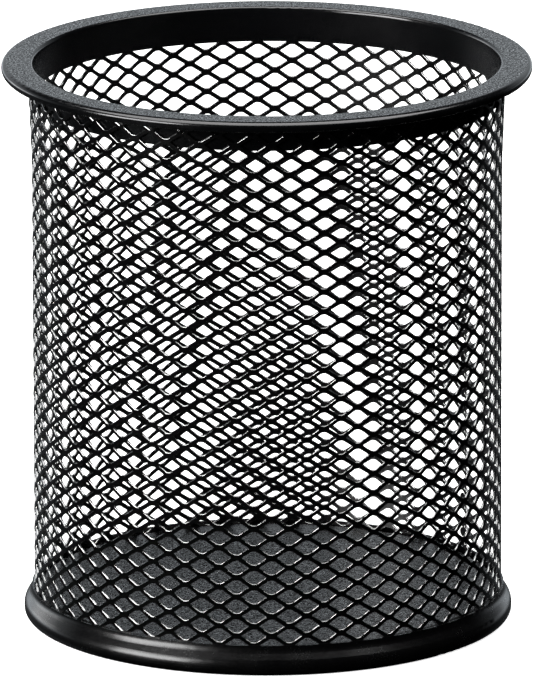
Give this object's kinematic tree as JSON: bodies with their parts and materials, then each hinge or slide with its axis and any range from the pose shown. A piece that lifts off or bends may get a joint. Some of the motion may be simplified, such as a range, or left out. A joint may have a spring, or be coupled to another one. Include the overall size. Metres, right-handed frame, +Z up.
{
  "type": "pen holder cup",
  "caption": "Round desk cup of black expanded-metal mesh, welded between a flat flanged steel rim and a solid steel base with a flared, curled foot.",
  "frame": {"origin": "on the cup's axis, in the plane that its foot stands on", "axes": "+Z up along the cup's axis, out of its mouth; the lap of the mesh strip starts 28 degrees from +X towards +Y"},
  "size_m": [0.0908, 0.0908, 0.0975],
  "materials": {
    "rim_steel": "black powder coat, satin, fine grain",
    "mesh_steel": "black powder coat, semi-gloss",
    "base_steel": "black powder coat, satin, fine grain",
    "weld_steel": "black powder coat over a flattened weld"
  },
  "bodies": {
    "root": {"rim_ring": "rim_steel", "mesh_sleeve": "mesh_steel", "base_pan": "base_steel", "rim_spot_welds": "weld_steel", "base_spot_welds": "weld_steel", "seam_spot_welds": "weld_steel"}
  },
  "joints": []
}
